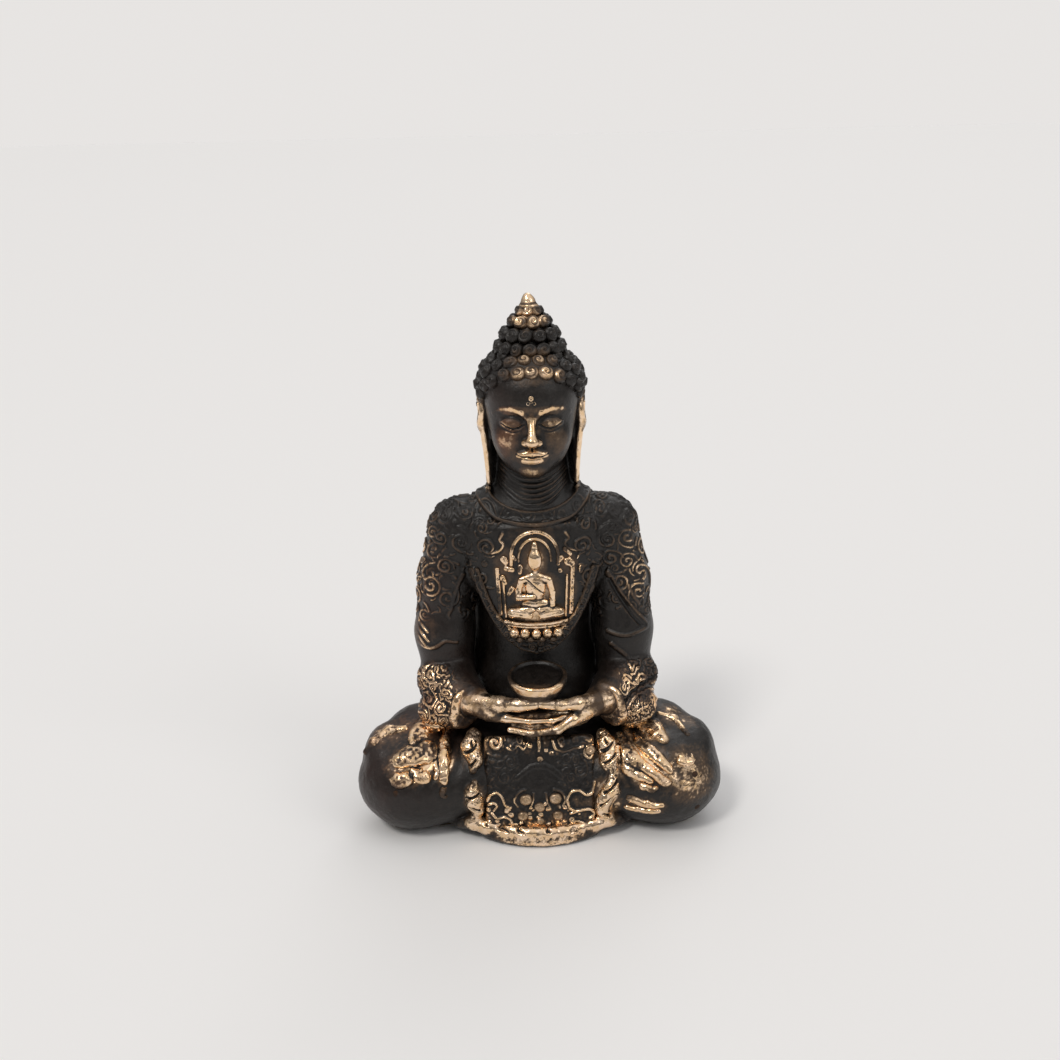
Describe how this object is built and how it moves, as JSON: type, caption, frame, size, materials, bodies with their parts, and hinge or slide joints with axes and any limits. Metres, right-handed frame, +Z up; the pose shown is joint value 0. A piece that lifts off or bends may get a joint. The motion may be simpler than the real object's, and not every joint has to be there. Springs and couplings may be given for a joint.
{
  "type": "buddha statue",
  "caption": "Small seated meditating figure in cast bronze with crossed legs, hands and bowl in the lap, curled hair, a relief scene on the chest and a round-fronted apron.",
  "frame": {"origin": "middle of the footprint, on the plane the figure rests on", "axes": "+Z up, the figure faces -Y, +X towards the figure's left hand"},
  "size_m": [0.0898, 0.0513, 0.128],
  "materials": {
    "patina_bronze": "dark brown-black patina, satin",
    "worn_bronze": "patina rubbed through to bronze on the high points",
    "bright_bronze": "polished by handling, dark in the pits",
    "plate_brass": "rolled sheet, dull and lightly scratched",
    "pin_iron": "rusted dark, rough"
  },
  "bodies": {
    "root": {"legs_casting": "patina_bronze", "torso_casting": "patina_bronze", "neck": "patina_bronze", "head": "worn_bronze", "hair_cap": "patina_bronze", "hair_curls": "worn_bronze", "ushnisha": "patina_bronze", "ushnisha_curls": "worn_bronze", "finial": "bright_bronze", "left_ear": "bright_bronze", "right_ear": "bright_bronze", "forehead_mark": "bright_bronze", "collar_band": "patina_bronze", "chest_panel": "patina_bronze", "panel_border": "patina_bronze", "niche_arch": "worn_bronze", "niche_columns": "worn_bronze", "relief_figure": "bright_bronze", "lotus_pedestal": "bright_bronze", "left_sleeve": "patina_bronze", "right_sleeve": "patina_bronze", "left_forearm": "worn_bronze", "right_forearm": "worn_bronze", "left_cuff": "worn_bronze", "right_cuff": "worn_bronze", "left_hand": "bright_bronze", "right_hand": "bright_bronze", "alms_bowl": "patina_bronze", "left_knee_folds": "worn_bronze", "right_knee_folds": "worn_bronze", "apron_plate": "patina_bronze", "apron_panel": "patina_bronze", "apron_bead": "bright_bronze", "apron_borders": "bright_bronze", "apron_bosses": "patina_bronze", "base_plate": "plate_brass", "core_pins": "pin_iron"}
  },
  "joints": []
}
